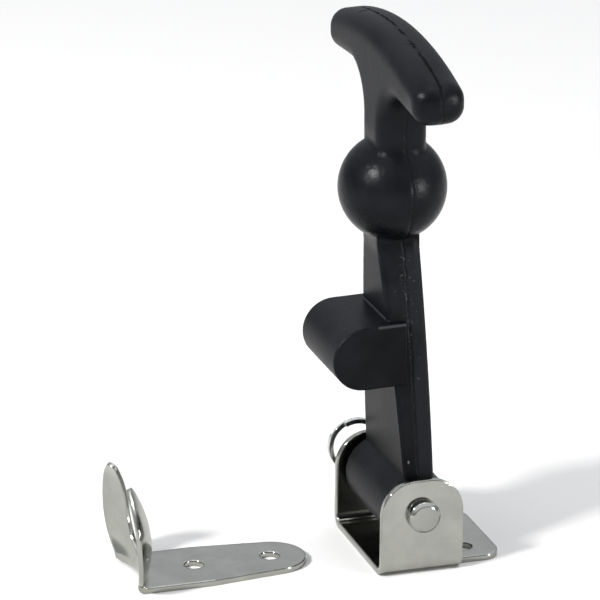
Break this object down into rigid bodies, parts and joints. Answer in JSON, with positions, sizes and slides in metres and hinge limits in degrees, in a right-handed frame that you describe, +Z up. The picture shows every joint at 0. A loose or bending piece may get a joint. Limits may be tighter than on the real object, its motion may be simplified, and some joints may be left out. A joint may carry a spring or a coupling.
{
  "type": "rubber t draw latch",
  "caption": "Rubber draw latch: T-handle strap with ball and stop boss, hinged on a clevis pin in a folded bracket, with a forked keeper that holds the ball.",
  "frame": {"origin": "on the mounting surface, under the clevis pin's axis, midway between the bracket's ears", "axes": "+Z up from the mounting surface, +Y along the clevis pin from its head to its ring, +X towards the bracket's tail; the keeper lies towards -X"},
  "size_m": [0.0948, 0.0677, 0.1349],
  "materials": {
    "stainless_sheet": "satin",
    "stainless_pin": "turned, satin",
    "spring_steel": "bright",
    "black_rubber": "moulded, satin"
  },
  "bodies": {
    "base": {"bracket": "stainless_sheet", "keeper": "stainless_sheet"},
    "handle": {"handle": "black_rubber"},
    "pin": {"clevis_pin": "stainless_pin"},
    "ring": {"split_ring": "spring_steel"}
  },
  "joints": [
    {"name": "handle_pivot", "type": "hinge", "parent": "base", "child": "handle", "pos_m": [0, 0, 0.0156], "axis": [0, 1, 0], "range_deg": [-72, 93]},
    {"name": "pin_spin", "type": "hinge", "parent": "base", "child": "pin", "pos_m": [0, 0, 0.0156], "axis": [0, 1, 0], "continuous": true},
    {"name": "ring_swing", "type": "hinge", "parent": "pin", "child": "ring", "pos_m": [0, 0.02037, 0.0156], "axis": [0.7071, 0, 0.7071], "range_deg": [-180, 0]}
  ]
}
